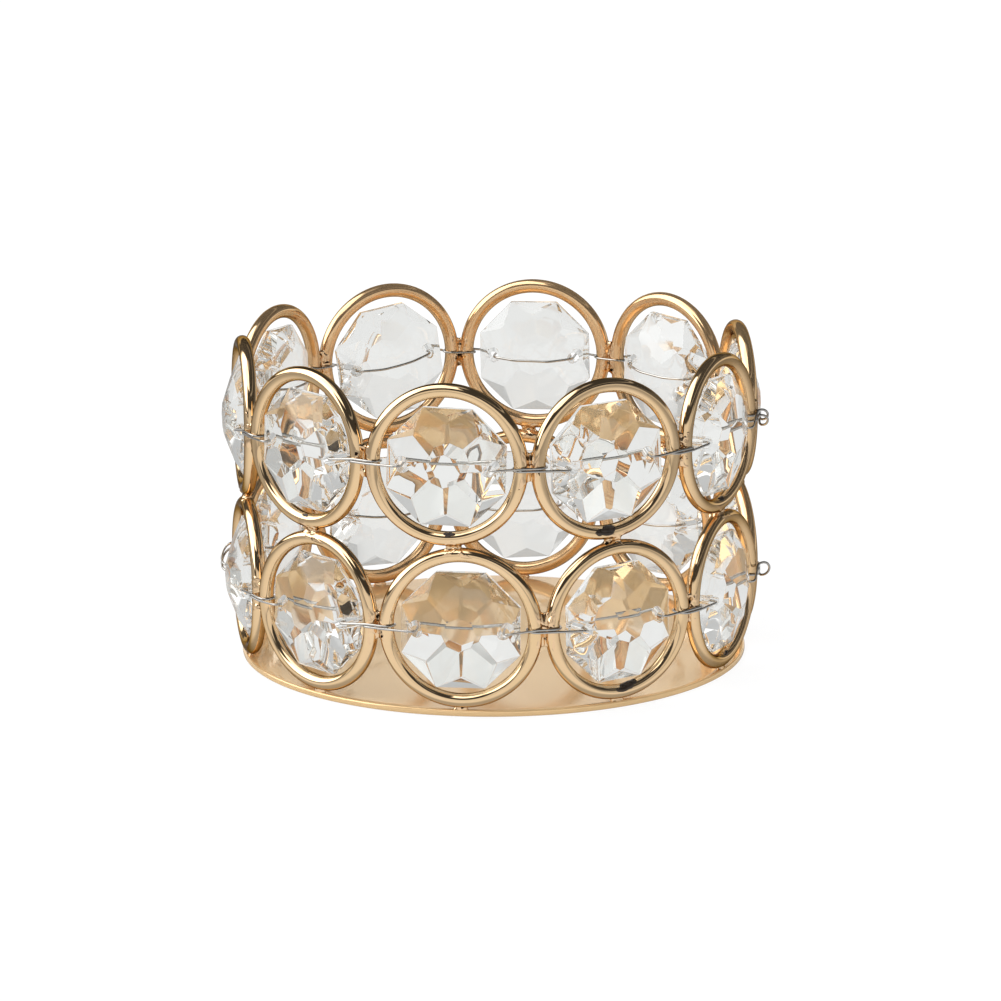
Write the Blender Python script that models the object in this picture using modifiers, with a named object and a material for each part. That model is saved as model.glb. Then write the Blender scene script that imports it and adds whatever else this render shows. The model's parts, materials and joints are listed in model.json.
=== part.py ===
"""Crystal tealight holder: two rows of ten wire rings, brazed into a round basket on a flat disc.

Every ring holds one octagonal crystal with two drilled holes. A thin tie wire for each row is
threaded through the crystals and takes one turn round each pair of neighbouring rings. The crystals
hang loosely on it and rock a little. +Z is up, the underside of the disc is at z = 0, and the first
upper ring faces -Y.
"""
import math

import bpy
import bmesh
import numpy as np
from mathutils import Matrix, Vector

MM = 0.001

# Driving sizes
RINGS_PER_ROW = 10
RING_OUTSIDE = 24.7 * MM
RING_WIRE = 2.2 * MM
BRAZE_GAP = 0.3 * MM
ROW_TWIST = math.radians(3.0)

DISC_OVERHANG = 0.75 * MM
DISC_THICKNESS = 1.0 * MM
DISC_EDGE_ROUND = 0.3 * MM

CRYSTAL_CLEARANCE = 0.12 * MM
CRYSTAL_DEPTH = 6.6 * MM
CRYSTAL_TABLE = 2.6 * MM
CRYSTAL_GIRDLE = 0.8 * MM
CRYSTAL_BORDER = 2.0 * MM
HOLE_DIAMETER = 1.8 * MM
HOLE_PLAY = 0.35 * MM
HOLE_EDGE_DISTANCE = 2.4 * MM

TIE_WIRE = 0.5 * MM
TIE_CLEARANCE = 0.3 * MM
TIE_BEND = 0.35 * MM
TIE_STRAND_PITCH = 1.4 * MM
TIE_TAIL = 1.6 * MM
TIE_SAME_STRETCH = 3.0 * MM
TIE_END_RING = {"lower": 8, "upper": 3}

# Facet counts
CRYSTAL_SIDES = 8
RING_SEGMENTS = 24
RING_WIRE_SIDES = 8
DISC_SEGMENTS = 64
HOLE_SEGMENTS = 10
TIE_TURN_STEP = math.radians(45)

# Sizes that follow
STEP = math.tau / RINGS_PER_ROW
HALF_STEP = STEP / 2
RING_RADIUS = (RING_OUTSIDE - RING_WIRE) / 2
RING_BORE = RING_OUTSIDE - 2 * RING_WIRE
SEAT = (RING_WIRE + BRAZE_GAP) / 2
ROW_RADIUS = (RING_RADIUS + SEAT / math.cos(HALF_STEP)) / math.tan(HALF_STEP)
ROW_HEIGHTS = {
    "lower": DISC_THICKNESS + BRAZE_GAP + RING_OUTSIDE / 2,
    "upper": DISC_THICKNESS + 2 * BRAZE_GAP + RING_OUTSIDE * 3 / 2,
}
ROW_ANGLES = {"lower": ROW_TWIST, "upper": 0.0}
DISC_RADIUS = ROW_RADIUS + DISC_OVERHANG

# The wire rests in the top of each hole, so a crystal hangs this far under the wire
CRYSTAL_DROP = HOLE_DIAMETER / 2 - HOLE_PLAY - TIE_WIRE / 2
SIDE_ANGLE = math.pi / CRYSTAL_SIDES
CORNER_REACH = RING_BORE / 2 * math.cos(math.pi / RING_SEGMENTS) - CRYSTAL_CLEARANCE


def crystal_apothem():
    """Half the crystal across its flats: its lowest corners clear the ring when it hangs on the wire."""
    tangent = math.tan(SIDE_ANGLE)
    a = 1 + tangent ** 2
    b = 2 * CRYSTAL_DROP
    c = CRYSTAL_DROP ** 2 - CORNER_REACH ** 2
    return (-b + math.sqrt(b * b - 4 * a * c)) / (2 * a)


CRYSTAL_APOTHEM = crystal_apothem()
CRYSTAL_CORNER = CRYSTAL_APOTHEM / math.cos(SIDE_ANGLE)
RIDGE_REACH = CRYSTAL_APOTHEM - CRYSTAL_BORDER
FACET_RUN = CRYSTAL_CORNER - CRYSTAL_TABLE * math.cos(SIDE_ANGLE)
RIDGE_SLOPE = (CRYSTAL_DEPTH - CRYSTAL_GIRDLE) / 2 * math.cos(SIDE_ANGLE) / FACET_RUN
RIDGE_END = CRYSTAL_DEPTH / 2 - RIDGE_SLOPE * (RIDGE_REACH - CRYSTAL_TABLE)
HOLE_OFFSET = CRYSTAL_APOTHEM - HOLE_EDGE_DISTANCE


def tidy_scene():
    """Empty the file, so that the model is all that it holds."""
    for thing in list(bpy.data.objects):
        bpy.data.objects.remove(thing, do_unlink=True)


def new_collection(name):
    """A collection linked to the scene."""
    group = bpy.data.collections.new(name)
    bpy.context.scene.collection.children.link(group)
    return group


def new_material(name, colour, roughness, metallic=0.0, transmission=0.0):
    """A Principled material in one plain colour."""
    material = bpy.data.materials.new(name)
    material.use_nodes = True
    shader = material.node_tree.nodes["Principled BSDF"]
    shader.inputs["Base Color"].default_value = (*colour, 1.0)
    shader.inputs["Roughness"].default_value = roughness
    shader.inputs["Metallic"].default_value = metallic
    shader.inputs["Transmission Weight"].default_value = transmission
    material.diffuse_color = (*colour, 1.0)
    return material


def add_object(name, data, group, material, smooth_angle=None):
    """An object of the given mesh or curve, in its collection and with its material."""
    thing = bpy.data.objects.new(name, data)
    group.objects.link(thing)
    if not data.materials:
        data.materials.append(material)
    if smooth_angle is not None:
        data.shade_smooth()
        data.set_sharp_from_angle(angle=math.radians(smooth_angle))
    return thing


def ring_angle(row, number):
    """Turn of one ring about +Z, from the front."""
    return ROW_ANGLES[row] + number * STEP


def place(angle, across, out, height):
    """A point that lies across and out, as seen from outside by someone who faces the given angle."""
    return Vector((
        out * math.sin(angle) + across * math.cos(angle),
        -out * math.cos(angle) + across * math.sin(angle),
        height,
    ))


def make_disc(group, material):
    """The flat round base, with its edges broken."""
    mesh = bpy.data.meshes.new("disc")
    blank = bmesh.new()
    bmesh.ops.create_cone(
        blank, cap_ends=True, segments=DISC_SEGMENTS, depth=DISC_THICKNESS,
        radius1=DISC_RADIUS, radius2=DISC_RADIUS,
        matrix=Matrix.Translation((0, 0, DISC_THICKNESS / 2)))
    blank.to_mesh(mesh)
    blank.free()
    disc = add_object("base_disc", mesh, group, material, smooth_angle=40)
    rounding = disc.modifiers.new("edge", "BEVEL")
    rounding.width = DISC_EDGE_ROUND
    rounding.segments = 2
    rounding.limit_method = "ANGLE"
    rounding.angle_limit = math.radians(40)
    return disc


def ring_mesh():
    """One ring of round wire, standing upright with its axis along Y."""
    bpy.ops.mesh.primitive_torus_add(
        major_radius=RING_RADIUS, minor_radius=RING_WIRE / 2,
        major_segments=RING_SEGMENTS, minor_segments=RING_WIRE_SIDES)
    turned = bpy.context.object
    mesh = turned.data
    mesh.name = "ring"
    bpy.data.objects.remove(turned)
    mesh.transform(Matrix.Rotation(math.pi / 2, 4, "X"))
    mesh.shade_smooth()
    return mesh


def crystal_blank():
    """The cut crystal before drilling, with its flat sides up, down, left and right.

    Each face has a small table in the middle, eight main facets that run from it to the corners, and
    eight border facets between them along the sides. All its corners are known, and the main facets
    are flat through them, so it is their convex hull.
    """
    ridges = [2 * side * SIDE_ANGLE for side in range(CRYSTAL_SIDES)]
    corners = [ridge + SIDE_ANGLE for ridge in ridges]
    rounds = (
        (ridges, CRYSTAL_TABLE, CRYSTAL_DEPTH / 2),
        (ridges, RIDGE_REACH, RIDGE_END),
        (corners, CRYSTAL_CORNER, CRYSTAL_GIRDLE / 2),
    )
    cut = bmesh.new()
    for way in (-1, 1):
        for angles, reach, depth in rounds:
            for angle in angles:
                cut.verts.new((reach * math.sin(angle), way * depth, reach * math.cos(angle) - CRYSTAL_DROP))
    bmesh.ops.convex_hull(cut, input=cut.verts)
    bmesh.ops.recalc_face_normals(cut, faces=cut.faces)
    mesh = bpy.data.meshes.new("crystal_blank")
    cut.to_mesh(mesh)
    cut.free()
    return mesh


def drill_pair(cutters):
    """Two parallel drills, one for each hole, as one cutter."""
    mesh = bpy.data.meshes.new("drills")
    drills = bmesh.new()
    for side in (-1, 1):
        stand = Matrix.Translation((side * HOLE_OFFSET, 0, -CRYSTAL_DROP))
        bmesh.ops.create_cone(
            drills, cap_ends=True, segments=HOLE_SEGMENTS, depth=2 * CRYSTAL_DEPTH,
            radius1=HOLE_DIAMETER / 2, radius2=HOLE_DIAMETER / 2,
            matrix=stand @ Matrix.Rotation(math.pi / 2, 4, "X"))
    drills.to_mesh(mesh)
    drills.free()
    cutter = bpy.data.objects.new("crystal_drills", mesh)
    cutters.objects.link(cutter)
    cutter.hide_render = True
    cutter.display_type = "WIRE"
    return cutter


def crystal_mesh(cutters):
    """The drilled crystal, shared by all of them."""
    blank = bpy.data.objects.new("crystal_blank", crystal_blank())
    cutters.objects.link(blank)
    drilling = blank.modifiers.new("holes", "BOOLEAN")
    drilling.operation = "DIFFERENCE"
    drilling.solver = "EXACT"
    drilling.object = drill_pair(cutters)
    graph = bpy.context.evaluated_depsgraph_get()
    mesh = bpy.data.meshes.new_from_object(blank.evaluated_get(graph))
    mesh.name = "crystal"
    bpy.data.objects.remove(blank)
    return mesh


def face_depth(across):
    """Distance from the crystal's middle plane to its face, on the line through both holes."""
    if across <= CRYSTAL_TABLE:
        return CRYSTAL_DEPTH / 2
    if across <= RIDGE_REACH:
        return CRYSTAL_DEPTH / 2 - RIDGE_SLOPE * (across - CRYSTAL_TABLE)
    fall = (RIDGE_END - CRYSTAL_GIRDLE / 2) / CRYSTAL_BORDER
    return RIDGE_END - fall * (across - RIDGE_REACH)


def tie_through_crystal(row, number):
    """Wire points of one crystal: in at the left hole, across the back, out at the right hole."""
    away = TIE_CLEARANCE + TIE_WIRE / 2
    off_face = face_depth(HOLE_OFFSET - HOLE_DIAMETER / 2) + away
    half = (
        (CRYSTAL_TABLE, -CRYSTAL_DEPTH / 2 - away),
        (HOLE_OFFSET - TIE_BEND, -off_face),
        (HOLE_OFFSET, -off_face + TIE_BEND),
        (HOLE_OFFSET, off_face - TIE_BEND),
        (HOLE_OFFSET + TIE_BEND, off_face),
    )
    whole = [(-across, out) for across, out in reversed(half)] + list(half)
    angle = ring_angle(row, number)
    return [place(angle, across, ROW_RADIUS + out, ROW_HEIGHTS[row]) for across, out in whole]


def tie_corner(row, number, side, turn, up):
    """One corner of the wire's turn round the two ring wires that meet after the given ring.

    Side is -1 for the left ring's wire and 1 for the right one, and turn goes round that wire from
    the front. The ring wires draw apart above and below their joint, and the corner moves with them.
    """
    reach = (RING_WIRE / 2 + TIE_CLEARANCE + TIE_WIRE / 2) / math.cos(TIE_TURN_STEP / 2)
    parting = RING_RADIUS - math.sqrt(RING_RADIUS ** 2 - up ** 2)
    joint_radius = ROW_RADIUS * math.cos(HALF_STEP) + RING_RADIUS * math.sin(HALF_STEP)
    return place(
        ring_angle(row, number) + HALF_STEP,
        side * (SEAT + parting) + reach * math.sin(turn),
        joint_radius + reach * math.cos(turn),
        ROW_HEIGHTS[row] + up)


def tie_round_rings(row, number, start_up, end_up):
    """Wire points of one turn, from the front, through the next ring, behind and round to the front."""
    half_turn = round(math.pi / TIE_TURN_STEP)
    stations = [(-1, 0)]
    stations += [(1, i) for i in range(half_turn + 1)]
    stations += [(-1, i) for i in range(half_turn, 2 * half_turn + 1)]
    stations += [(1, 2 * half_turn)]
    rise = (end_up - start_up) / (len(stations) - 1)
    return [
        tie_corner(row, number, side, i * TIE_TURN_STEP, start_up + rise * count)
        for count, (side, i) in enumerate(stations)]


def tie_wire_points(row):
    """The whole route of one row's wire, once round the basket, both ends after the same ring."""
    half_pitch = TIE_STRAND_PITCH / 2
    last = TIE_END_RING[row] - 1
    first_corner = tie_corner(row, last, 1, 0, -half_pitch)
    points = [first_corner - Vector((0, 0, TIE_TAIL)), first_corner]
    for number in range(last + 1, last + RINGS_PER_ROW):
        points += tie_through_crystal(row, number)
        points += tie_round_rings(row, number, half_pitch, -half_pitch)
    points += tie_through_crystal(row, last)
    points += tie_round_rings(row, last, half_pitch, 3 * half_pitch)
    points.append(points[-1] + Vector((0, 0, TIE_TAIL)))
    return points


def least_gap(points, diameter):
    """Smallest clear distance between stretches of a wire that aren't neighbours along it."""
    spacing = diameter / 2
    route = [np.array(points[0])]
    for start, end in zip(points, points[1:]):
        count = max(1, math.ceil((end - start).length / spacing))
        route += [np.array(start.lerp(end, i / count)) for i in range(1, count + 1)]
    route = np.array(route)
    along = np.concatenate([[0], np.cumsum(np.linalg.norm(np.diff(route, axis=0), axis=1))])
    least = np.inf
    for place_here, run in zip(route, along):
        far = np.abs(along - run) > TIE_SAME_STRETCH
        least = min(least, np.linalg.norm(route[far] - place_here, axis=1).min())
    return least - diameter


def make_tie_wire(row, group, material):
    """The tie wire of one row, as one unbroken tube."""
    points = tie_wire_points(row)
    curve = bpy.data.curves.new(row + "_tie_wire", "CURVE")
    curve.dimensions = "3D"
    curve.bevel_depth = TIE_WIRE / 2
    curve.bevel_resolution = 1
    curve.use_fill_caps = True
    spline = curve.splines.new("POLY")
    spline.points.add(len(points) - 1)
    for knot, point in zip(spline.points, points):
        knot.co = (*point, 1.0)
    gap = least_gap(points, TIE_WIRE)
    print(f"{row} tie wire: least gap to itself {gap / MM:.2f} mm")
    return add_object(row + "_tie_wire", curve, group, material)


def make_rows(group, ring, ring_metal, crystal, glass):
    """Both rows of rings, each ring with its crystal, whose origin is on the wire that carries it."""
    for row in ROW_HEIGHTS:
        for number in range(RINGS_PER_ROW):
            angle = ring_angle(row, number)
            for kind, mesh, material in (("ring", ring, ring_metal), ("crystal", crystal, glass)):
                piece = add_object(f"{row}_{kind}_{number + 1:02d}", mesh, group, material)
                piece.location = place(angle, 0, ROW_RADIUS, ROW_HEIGHTS[row])
                piece.rotation_euler = (0, 0, angle)


def main():
    """Build the holder."""
    tidy_scene()
    holder = new_collection("crystal_tealight_holder")
    cutters = new_collection("cutters")
    disc_metal = new_material("disc_metal", (0.72, 0.54, 0.33), 0.22, metallic=1.0)
    ring_metal = new_material("ring_metal", (0.86, 0.64, 0.36), 0.14, metallic=1.0)
    wire_metal = new_material("tie_wire_metal", (0.62, 0.62, 0.63), 0.25, metallic=1.0)
    glass = new_material("crystal_glass", (0.95, 0.96, 0.97), 0.02, transmission=1.0)
    make_disc(holder, disc_metal)
    make_rows(holder, ring_mesh(), ring_metal, crystal_mesh(cutters), glass)
    for row in ROW_HEIGHTS:
        make_tie_wire(row, holder, wire_metal)


main()
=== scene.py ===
"""The look of the crystal tealight holder: plated wire rings, cut crystals, tie wires and brazed joints."""
import json
import math

import bmesh
import bpy
import numpy as np
from mathutils import Matrix, Vector


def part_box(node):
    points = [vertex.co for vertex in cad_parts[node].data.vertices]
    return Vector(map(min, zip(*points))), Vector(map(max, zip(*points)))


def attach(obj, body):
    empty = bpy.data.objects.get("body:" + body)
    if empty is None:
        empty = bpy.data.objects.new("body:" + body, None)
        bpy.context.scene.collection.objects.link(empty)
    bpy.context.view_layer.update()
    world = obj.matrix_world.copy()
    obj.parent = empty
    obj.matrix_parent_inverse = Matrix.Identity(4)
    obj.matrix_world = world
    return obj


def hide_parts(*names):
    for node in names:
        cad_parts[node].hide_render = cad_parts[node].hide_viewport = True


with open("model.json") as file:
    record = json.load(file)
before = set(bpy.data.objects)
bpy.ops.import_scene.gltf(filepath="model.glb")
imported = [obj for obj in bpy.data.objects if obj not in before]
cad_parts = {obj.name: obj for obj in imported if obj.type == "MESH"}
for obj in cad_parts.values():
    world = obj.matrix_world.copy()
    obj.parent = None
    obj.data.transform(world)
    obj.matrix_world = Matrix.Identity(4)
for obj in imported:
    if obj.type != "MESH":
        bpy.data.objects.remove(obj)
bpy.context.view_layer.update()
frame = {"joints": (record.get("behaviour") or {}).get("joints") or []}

MM = 0.001


# Base plate. A flat disc stamped from 1 mm steel sheet, rolled bright, plated in light gold and
# lacquered. The lower rings are brazed down to its top face. Stamping leaves its rim a little rounded.
plate_low, plate_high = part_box("base_disc")
PLATE_RADIUS = (plate_high.x - plate_low.x) / 2
PLATE_TOP = plate_high.z
PLATE_RIM_ROUND = 0.32 * MM
PLATE_SPOKES = 256
PLATE_GOLD = "#F0CC98"
PLATE_METAL_SHARE = 0.42
ROLL_LINE_WIDTH = 0.5 * MM
ROLL_LINE_LENGTH = 14 * MM
LACQUER_CLOUD = 9 * MM


def linear(code):
    """The linear colour of an sRGB hex code, by the sRGB curve, with full alpha."""
    parts = [int(code[i:i + 2], 16) / 255 for i in (1, 3, 5)]
    return (*(p / 12.92 if p <= 0.04045 else ((p + 0.055) / 1.055) ** 2.4 for p in parts), 1.0)


def add_node(material, kind, settings=None, inputs=None):
    """A shader node with its settings, and with its inputs set to values or linked to outputs."""
    node = material.node_tree.nodes.new(kind)
    for name, value in (settings or {}).items():
        setattr(node, name, value)
    for name, value in (inputs or {}).items():
        if isinstance(value, bpy.types.NodeSocket):
            material.node_tree.links.new(value, node.inputs[name])
        else:
            node.inputs[name].default_value = value
    return node


def new_material(name, base, metallic, roughness, ior=None):
    """A Principled material and its shader, before its patterns are linked."""
    material = bpy.data.materials.new(name)
    material.use_nodes = True
    shader = material.node_tree.nodes["Principled BSDF"]
    shader.inputs["Base Color"].default_value = linear(base)
    shader.inputs["Metallic"].default_value = metallic
    shader.inputs["Roughness"].default_value = roughness
    if ior:
        shader.inputs["IOR"].default_value = ior
    return material, shader


def grid_faces(rows, columns, close_rows, close_columns):
    """Quads of a grid: each joins a point to the next along, across and both, and the last to the first."""
    i, j = np.meshgrid(
        np.arange(rows - (not close_rows)), np.arange(columns - (not close_columns)), indexing="ij")
    up, on = (i + 1) % rows, (j + 1) % columns
    quads = np.stack([i * columns + j, up * columns + j, up * columns + on, i * columns + on], axis=-1)
    return quads.reshape(-1, 4)


def grid_mesh(name, grids, close_rows=False, close_columns=True, sharp=40):
    """One closed mesh of grids of points. Rings of points that end a grid are capped or drawn together."""
    points, faces, start = [], [], 0
    for grid in grids:
        rows, columns = grid.shape[:2]
        points.append(grid.reshape(-1, 3))
        faces += (grid_faces(rows, columns, close_rows, close_columns) + start).tolist()
        if not close_rows:
            first = start + np.arange(columns)
            faces += [first.tolist(), (first + (rows - 1) * columns)[::-1].tolist()]
        start += rows * columns
    mesh = bpy.data.meshes.new(name)
    mesh.from_pydata(np.concatenate(points).tolist(), [], faces)
    work = bmesh.new()
    work.from_mesh(mesh)
    bmesh.ops.remove_doubles(work, verts=work.verts, dist=1e-7)
    bmesh.ops.recalc_face_normals(work, faces=work.faces)
    work.to_mesh(mesh)
    work.free()
    mesh.shade_smooth()
    mesh.set_sharp_from_angle(angle=math.radians(sharp))
    return mesh


def add_piece(name, mesh, material, body, nodes):
    """A piece of the holder that rides on a body, takes a material slot and stands for CAD nodes."""
    piece = bpy.data.objects.new(name, mesh)
    bpy.context.scene.collection.objects.link(piece)
    mesh.materials.append(material)
    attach(piece, body)
    if nodes:
        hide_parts(*nodes)
    return piece


def plate_surface():
    """A turned disc: its half section runs from the axis out, round the rim's two quarter arcs, and back."""
    arc = np.linspace(0, math.pi / 2, 7)
    inner = PLATE_RADIUS - PLATE_RIM_ROUND
    low = [(inner + PLATE_RIM_ROUND * np.sin(arc)), (PLATE_RIM_ROUND - PLATE_RIM_ROUND * np.cos(arc))]
    high = [low[0][::-1], PLATE_TOP - low[1][::-1]]
    face = np.concatenate([[1e-9], np.linspace(0.2, 0.98, 5) * inner])
    radius = np.concatenate([face, low[0], high[0], face[::-1]])
    height = np.concatenate([0 * face, low[1], high[1], 0 * face + PLATE_TOP])
    turn = np.linspace(0, math.tau, PLATE_SPOKES, endpoint=False)
    return np.stack([
        np.outer(radius, np.cos(turn)), np.outer(radius, np.sin(turn)),
        np.outer(height, np.ones(len(turn)))], axis=-1)


def lacquered_sheet():
    """Rolled steel sheet, plated and lacquered in light gold. The lacquer's gold dust scatters more than
    half of the light, so it stays light from any side. Rolling leaves faint straight lines, which are
    drawn 0.5 mm apart, coarse enough to show, and the dip leaves duller clouds."""
    material, shader = new_material("gold_lacquered_sheet", PLATE_GOLD, PLATE_METAL_SHARE, 0.16, ior=1.5)
    place = add_node(material, "ShaderNodeTexCoord")
    stretch = add_node(material, "ShaderNodeMapping", inputs={
        "Vector": place.outputs["Object"], "Scale": (MM / ROLL_LINE_WIDTH, MM / ROLL_LINE_LENGTH, 1.0)})
    lines = add_node(material, "ShaderNodeTexNoise", inputs={
        "Vector": stretch.outputs["Vector"], "Scale": 1 / MM, "Detail": 1.0})
    cloud = add_node(material, "ShaderNodeTexNoise", inputs={
        "Vector": place.outputs["Object"], "Scale": 1 / LACQUER_CLOUD, "Detail": 2.0})
    both = add_node(material, "ShaderNodeMath", {"operation": "MULTIPLY"}, {
        0: lines.outputs["Fac"], 1: cloud.outputs["Fac"]})
    rough = add_node(material, "ShaderNodeMapRange", inputs={
        "Value": both.outputs["Value"], "From Min": 0.1, "From Max": 0.45, "To Min": 0.07, "To Max": 0.13})
    bump = add_node(material, "ShaderNodeBump", inputs={
        "Strength": 0.04, "Distance": 0.02 * MM, "Height": lines.outputs["Fac"]})
    material.node_tree.links.new(rough.outputs["Result"], shader.inputs["Roughness"])
    material.node_tree.links.new(bump.outputs["Normal"], shader.inputs["Normal"])
    return material


plate_mesh = grid_mesh("base_plate", [plate_surface()])
add_piece("base_plate", plate_mesh, lacquered_sheet(), "holder", ["base_disc"])


# Wire rings. Twenty rings bent from 2.2 mm drawn steel wire and butted shut, plated in light gold and
# lacquered after brazing. Hand bending leaves each a little out of true. Each ring's middle is where
# its crystal's wire runs.
ROWS = ("lower", "upper")
PER_ROW = 10
STEP = math.tau / PER_ROW
first_low, first_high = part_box("upper_ring_01")
RING_OUTSIDE = first_high.z - first_low.z
RING_WIRE = first_high.y - first_low.y
RING_RADIUS = (RING_OUTSIDE - RING_WIRE) / 2
RING_STEPS = 144
WIRE_STEPS = 28
RING_GOLD = "#EFD0AA"
THICK_GOLD = "#F3D4AC"
THIN_GOLD = "#E8C798"
# FAR_GOLD and FAR_METAL_SHARE are painted light: towards the back of the holder the wire is painted redder
# and lifted by a share of matt light, for how light falls on the far rings.
FAR_GOLD = "#EDC697"
EDGE_GOLD = "#8C7452"
RING_WOBBLE = 0.05 * MM
GOLD_PATCH = 7 * MM
DIMPLE = 1.5 * MM
FAR_SIDE = 34 * MM
FAR_METAL_SHARE = 0.86
FAR_DULLNESS = 0.07

centres, turns = {}, {}
for joint in frame["joints"]:
    row, _, number, _ = joint["name"].split("_")
    centres[row, int(number)] = np.array(joint["pos_m"])
    turns[row, int(number)] = math.atan2(joint["axis"][1], joint["axis"][0])


def directions(turn):
    """Unit vectors across, outwards and up for someone who faces the holder at a turn about +Z."""
    across = np.array([math.cos(turn), math.sin(turn), 0.0])
    out = np.array([math.sin(turn), -math.cos(turn), 0.0])
    return across, out, np.array([0.0, 0.0, 1.0])


def ring_surface(centre, turn, seed):
    """A torus. A point of the wire's middle line is R + wobble from the centre along a spoke at angle t,
    and warp in front of the ring's plane: both are sums of sines with two, three and four waves round the
    ring. The skin is r away from it at angle s, measured from the spoke towards the ring's axis."""
    across, out, up = directions(turn)
    chance = np.random.default_rng(seed)
    t = np.linspace(0, math.tau, RING_STEPS, endpoint=False)[:, None]
    s = np.linspace(0, math.tau, WIRE_STEPS, endpoint=False)[None, :]
    wobble, warp = 0 * t, 0 * t
    for waves in (2, 3, 4):
        swing = RING_WOBBLE / waves
        wobble = wobble + swing * chance.uniform(-2, 2) * np.sin(waves * t + chance.uniform(0, 6))
        warp = warp + swing * chance.uniform(-2, 2) * np.sin(waves * t + chance.uniform(0, 6))
    radial = RING_RADIUS + wobble + RING_WIRE / 2 * np.cos(s)
    axial = warp + RING_WIRE / 2 * np.sin(s)
    return (centre + (radial * np.sin(t))[..., None] * across + (radial * np.cos(t))[..., None] * up
            + axial[..., None] * out)


def plated_wire():
    """Drawn steel wire plated in light gold: a near mirror, with the soft dimples that plating leaves on
    a drawn and bent wire. The plating is thinner and redder in patches. Towards the back of the holder the
    wire is painted redder and lifted by a share of matt light, both painted light for how light falls on the
    far rings, and it is rougher there. The lacquer over it darkens what is seen at a slant, at the edges."""
    material, shader = new_material("gold_plated_wire", RING_GOLD, 1.0, 0.06)
    shader.inputs["Specular Tint"].default_value = linear(EDGE_GOLD)
    place = add_node(material, "ShaderNodeTexCoord")
    patches = add_node(material, "ShaderNodeTexNoise", inputs={
        "Vector": place.outputs["Object"], "Scale": 1 / GOLD_PATCH, "Detail": 3.0})
    sides = add_node(material, "ShaderNodeSeparateXYZ", inputs={0: place.outputs["Object"]})
    # Painted light: how far towards the back a point lies, which paints the far rings redder and lifts them.
    turned = add_node(material, "ShaderNodeMapRange", {"interpolation_type": "SMOOTHSTEP"}, {
        "Value": sides.outputs["Y"], "From Min": -FAR_SIDE, "From Max": FAR_SIDE})
    light = add_node(material, "ShaderNodeMix", {"data_type": "RGBA"}, {
        "Factor": patches.outputs["Fac"], "A": linear(THICK_GOLD), "B": linear(THIN_GOLD)})
    tone = add_node(material, "ShaderNodeMix", {"data_type": "RGBA"}, {
        "Factor": turned.outputs["Result"], "A": light.outputs["Result"], "B": linear(FAR_GOLD)})
    rough = add_node(material, "ShaderNodeMapRange", inputs={
        "Value": patches.outputs["Fac"], "From Min": 0.3, "From Max": 0.7, "To Min": 0.03, "To Max": 0.09})
    painted_back_lift = add_node(material, "ShaderNodeMapRange", inputs={
        "Value": turned.outputs["Result"], "To Min": 1.0, "To Max": FAR_METAL_SHARE})
    dull = add_node(material, "ShaderNodeMath", {"operation": "MULTIPLY_ADD"}, {
        0: turned.outputs["Result"], 1: FAR_DULLNESS, 2: rough.outputs["Result"]})
    dimples = add_node(material, "ShaderNodeTexNoise", inputs={
        "Vector": place.outputs["Object"], "Scale": 1 / DIMPLE, "Detail": 2.0})
    bump = add_node(material, "ShaderNodeBump", inputs={
        "Strength": 0.25, "Distance": 0.03 * MM, "Height": dimples.outputs["Fac"]})
    material.node_tree.links.new(tone.outputs["Result"], shader.inputs["Base Color"])
    material.node_tree.links.new(painted_back_lift.outputs["Result"], shader.inputs["Metallic"])
    material.node_tree.links.new(dull.outputs["Value"], shader.inputs["Roughness"])
    material.node_tree.links.new(bump.outputs["Normal"], shader.inputs["Normal"])
    return material


ring_material = plated_wire()
for seed, (row, number) in enumerate(centres):
    surface = ring_surface(centres[row, number], turns[row, number], seed)
    ring_mesh = grid_mesh(f"{row}_wire_ring_{number:02d}", [surface], close_rows=True)
    add_piece(ring_mesh.name, ring_mesh, ring_material, "holder", [f"{row}_ring_{number:02d}"])


# Brazed joints. Brazing alloy has run in between neighbouring rings, between the rows and under the
# lower rings, and set in hollow, lumpy fillets, which are plated and lacquered with the rest. Dark crusts
# on the inner side of some rings, by the joints, are painted shade for the dark that the hollows there
# mirror.
WIRE_GAP = 0.3 * MM
SEAT = (RING_WIRE + WIRE_GAP) / 2
WIRE_HALF = RING_WIRE / 2
ROW_RADIUS = math.hypot(*centres["upper", 1][:2])
ROW_SHIFT = turns["lower", 1] - turns["upper", 1]
JOINT_RADIUS = ROW_RADIUS * math.cos(STEP / 2) + RING_RADIUS * math.sin(STEP / 2)
BRAZE_GOLD = "#EECCA4"
# PIT_SHADE_BLACK is painted shade: small black spots on the alloy, for the dark that its hollows mirror.
PIT_SHADE_BLACK = "#241B14"
PIT_SPACING = 1.2 * MM
FOOT_RISE = centres["lower", 1][2] - RING_RADIUS - PLATE_TOP
FOOT_LENGTH = 0.9 * MM
FOOT_DEPTH = 0.4 * MM
FOOT_FLARE = 0.3
FOOT_SINK = 0.1 * MM
FOOT_LUMP = 1.6 * MM
FOOT_SWELL = 0.35
BRAZE_SKIN = 0.03 * MM
BRAZE_LUMP = 1.3 * MM
BRAZE_RELIEF = 0.7 * MM
BRAZE_THINNING = 0.3
# least and most in mm: half depth and half height in the middle, and half height at the wires
SIDE_BRAZE = {"waist": (0.2, 0.45), "reach": (2.0, 2.6), "wide": (3.6, 4.4)}
ROW_BRAZE = {"waist": (0.3, 0.55), "reach": (1.0, 1.5), "wide": (3.2, 4.2)}
# The crusts' colours are painted shade: dark lumps on the rings' inner side by the joints, for the dark that
# the hollows there mirror.
CRUST_SHADE_BROWN = "#1C1510"
CRUST_SHADE_DARK = "#0E0A07"
CRUST_SHADE_LIGHT = "#3A2A1C"
CRAZE_SPACING = 0.5 * MM
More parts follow.
